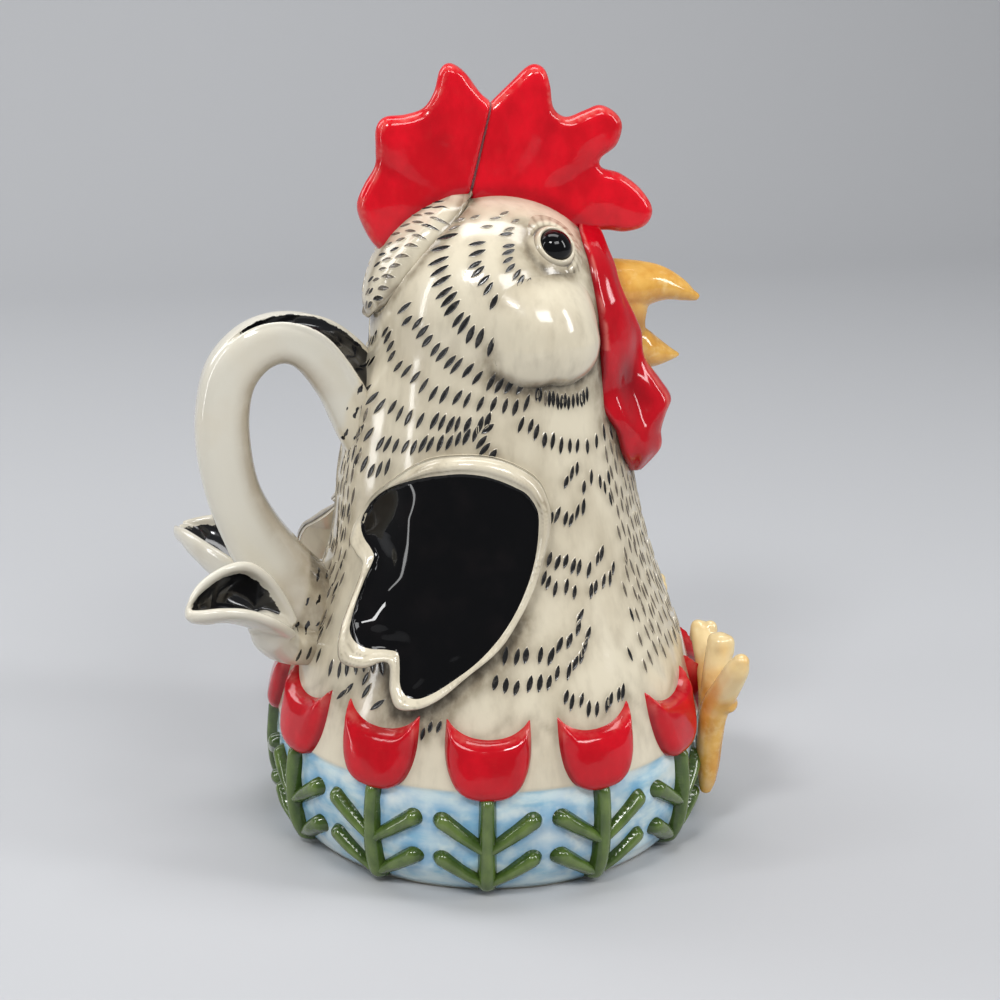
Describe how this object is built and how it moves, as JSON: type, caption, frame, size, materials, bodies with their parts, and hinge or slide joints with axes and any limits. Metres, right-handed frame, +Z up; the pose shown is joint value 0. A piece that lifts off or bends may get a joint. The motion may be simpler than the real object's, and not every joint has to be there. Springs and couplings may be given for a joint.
{
  "type": "rooster teapot",
  "caption": "Glazed ceramic teapot shaped as a seated rooster: conical body, loop handle, open beak as spout, and a lid cut from the back of the head with half of the comb on it",
  "frame": {"origin": "centre of the flat base, where it stands on the table", "axes": "+X points forward out of the beak, +Y to the bird's left, +Z up"},
  "size_m": [0.173, 0.1452, 0.2415],
  "materials": {
    "cream_glaze": "glossy cream glaze with dark incised marks",
    "ivory_glaze": "glossy ivory glaze",
    "red_glaze": "glossy mottled red glaze",
    "black_glaze": "glossy black glaze",
    "amber_glaze": "glossy amber glaze",
    "green_glaze": "glossy olive green glaze"
  },
  "bodies": {
    "pot": {"body_shell": "cream_glaze", "handle": "ivory_glaze", "front_comb": "red_glaze", "beak_upper": "amber_glaze", "beak_lower": "amber_glaze", "wing_right": "black_glaze", "wing_left": "black_glaze", "wattle_right": "red_glaze", "wattle_left": "red_glaze", "cheek_right": "cream_glaze", "cheek_left": "cream_glaze", "eye_ring_right": "cream_glaze", "eye_ring_left": "cream_glaze", "eye_right": "black_glaze", "eye_left": "black_glaze", "foot_right": "amber_glaze", "foot_left": "amber_glaze", "tail_feather_right": "ivory_glaze", "tail_feather_left": "ivory_glaze", "tulip_01": "red_glaze", "tulip_02": "red_glaze", "tulip_03": "red_glaze", "tulip_04": "red_glaze", "tulip_05": "red_glaze", "tulip_06": "red_glaze", "tulip_07": "red_glaze", "tulip_08": "red_glaze", "tulip_09": "red_glaze", "tulip_10": "red_glaze", "tulip_11": "red_glaze", "tulip_12": "red_glaze", "sprig_01": "green_glaze", "sprig_02": "green_glaze", "sprig_03": "green_glaze", "sprig_04": "green_glaze", "sprig_05": "green_glaze", "sprig_06": "green_glaze", "sprig_07": "green_glaze", "sprig_08": "green_glaze", "sprig_09": "green_glaze", "sprig_10": "green_glaze", "sprig_11": "green_glaze", "sprig_12": "green_glaze"},
    "lid": {"lid_cap": "cream_glaze", "rear_comb": "red_glaze"}
  },
  "joints": [
    {"name": "lid_lift", "type": "slide", "parent": "pot", "child": "lid", "axis": [-0.7547, 0, 0.6561], "range_m": [0, 0.08]}
  ]
}
